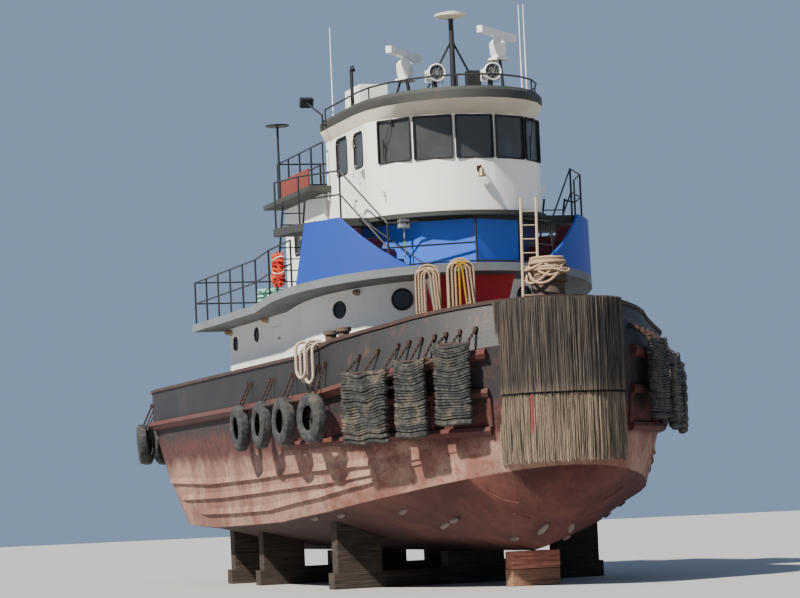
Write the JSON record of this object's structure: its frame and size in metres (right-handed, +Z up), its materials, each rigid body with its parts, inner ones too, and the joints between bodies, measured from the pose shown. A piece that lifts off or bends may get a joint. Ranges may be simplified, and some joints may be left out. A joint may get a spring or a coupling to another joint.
{
  "type": "harbour tugboat hauled out on blocks",
  "caption": "Steel harbour tug with a tall round-fronted wheelhouse, boat deck, tyre and rope fenders, a heavy bow fender, rudder and propeller, standing on keel and bilge blocks.",
  "frame": {"origin": "on the ground below the middle of the boat's length and beam", "axes": "+X to the bow, +Y to port, +Z up"},
  "size_m": [25.3, 8.8546, 12.7002],
  "materials": {
    "hull_paint": "weathered satin",
    "bottom_paint": "matt, weathered",
    "rusty_red": "rusty, worn",
    "white_paint": "satin with light rust marks",
    "blue_paint": "satin",
    "maroon_paint": "satin",
    "grey_paint": "matt",
    "black_paint": "satin",
    "tyre_rubber": "worn matt rubber",
    "rope_pudding": "frayed vertical strands",
    "timber": "rough sawn",
    "bronze": "dull",
    "white_plastic": "satin",
    "rope": "laid fibre rope",
    "hose_rubber": "pale green hose",
    "orange_fabric": "woven net and webbing"
  },
  "bodies": {
    "root": {"aft_cabin": "white_paint", "aft_deck_fittings": "rusty_red", "blocking_aft": "timber", "blocking_fore": "timber", "blocking_middle": "timber", "boat_deck": "grey_paint", "boat_deck_rail": "black_paint", "bow_bitt": "rusty_red", "bow_fender_lower": "rope_pudding", "bow_fender_upper": "rope_pudding", "bow_ladder": "grey_paint", "bow_line": "rope", "bridge_deck": "grey_paint", "bulwark": "hull_paint", "cap_rail": "rusty_red", "console": "grey_paint", "deck_coil": "hose_rubber", "deckhouse": "white_paint", "front_rail": "black_paint", "funnel": "black_paint", "guard_bow_port": "rusty_red", "guard_bow_starboard": "rusty_red", "guard_deck": "rusty_red", "hawser": "rope", "house_top": "grey_paint", "house_top_rail": "black_paint", "hull": "hull_paint", "keel_block_forward": "timber", "mast": "black_paint", "mats_port": "tyre_rubber", "mats_starboard": "tyre_rubber", "quarter_tyres_port": "tyre_rubber", "quarter_tyres_starboard": "tyre_rubber", "rescue_net": "orange_fabric", "roof_gear": "grey_paint", "roof_rail": "black_paint", "rope_hank_aft": "rope", "rope_hank_fore": "rope", "side_bitts_port": "rusty_red", "side_bitts_starboard": "rusty_red", "side_tyres_port": "tyre_rubber", "side_tyres_starboard": "tyre_rubber", "skeg": "bottom_paint", "stair_port": "maroon_paint", "stair_starboard": "maroon_paint", "stern_fender": "tyre_rubber", "wheelhouse": "white_paint", "wheelhouse_base": "blue_paint", "wheelhouse_roof": "grey_paint"},
    "rudder": {"rudder": "bottom_paint"},
    "propeller": {"propeller": "bronze"},
    "radar_scanner_starboard": {"radar_scanner_starboard": "white_plastic"},
    "radar_scanner_port": {"radar_scanner_port": "white_plastic"},
    "deckhouse_door_starboard": {"deckhouse_door_starboard": "white_paint"},
    "deckhouse_door_port": {"deckhouse_door_port": "white_paint"},
    "deckhouse_door_aft": {"deckhouse_door_aft": "white_paint"},
    "wheelhouse_door_starboard": {"wheelhouse_door_starboard": "white_paint"},
    "wheelhouse_door_port": {"wheelhouse_door_port": "white_paint"},
    "hatch_lid": {"hatch_lid": "grey_paint"},
    "capstan": {"capstan": "rusty_red"}
  },
  "joints": [
    {"name": "propeller_spin", "type": "hinge", "parent": "root", "child": "propeller", "pos_m": [-9.26, 0, 1.64], "axis": [1, 0, 0], "continuous": true},
    {"name": "rudder_turn", "type": "hinge", "parent": "root", "child": "rudder", "pos_m": [-10.5, 0, 1.7], "axis": [0, 0, 1], "range_deg": [-35, 35]},
    {"name": "radar_spin_starboard", "type": "hinge", "parent": "root", "child": "radar_scanner_starboard", "pos_m": [5.2, -1, 11.6], "axis": [0, 0, 1], "continuous": true},
    {"name": "radar_spin_port", "type": "hinge", "parent": "root", "child": "radar_scanner_port", "pos_m": [5.5, 1.08, 12], "axis": [0, 0, 1], "continuous": true},
    {"name": "deckhouse_door_starboard_open", "type": "hinge", "parent": "root", "child": "deckhouse_door_starboard", "pos_m": [1.144, -3.01, 5.2], "axis": [0, 0, 1], "range_deg": [0, 105]},
    {"name": "deckhouse_door_port_open", "type": "hinge", "parent": "root", "child": "deckhouse_door_port", "pos_m": [1.144, 3.01, 5.2], "axis": [0, 0, -1], "range_deg": [0, 105]},
    {"name": "deckhouse_door_aft_open", "type": "hinge", "parent": "root", "child": "deckhouse_door_aft", "pos_m": [-3.86, 0.344, 5.2], "axis": [0, 0, -1], "range_deg": [0, 110]},
    {"name": "wheelhouse_door_starboard_open", "type": "hinge", "parent": "root", "child": "wheelhouse_door_starboard", "pos_m": [4.206, -1.995, 9.1], "axis": [0, 0, -1], "range_deg": [0, 95]},
    {"name": "wheelhouse_door_port_open", "type": "hinge", "parent": "root", "child": "wheelhouse_door_port", "pos_m": [4.206, 1.995, 9.1], "axis": [0, 0, 1], "range_deg": [0, 95]},
    {"name": "hatch_lid_open", "type": "hinge", "parent": "root", "child": "hatch_lid", "pos_m": [-7.115, 1.5, 4.506], "axis": [0, 1, 0], "range_deg": [0, 100]},
    {"name": "capstan_spin", "type": "hinge", "parent": "root", "child": "capstan", "pos_m": [-9, 0, 4.7], "axis": [0, 0, 1], "continuous": true}
  ]
}
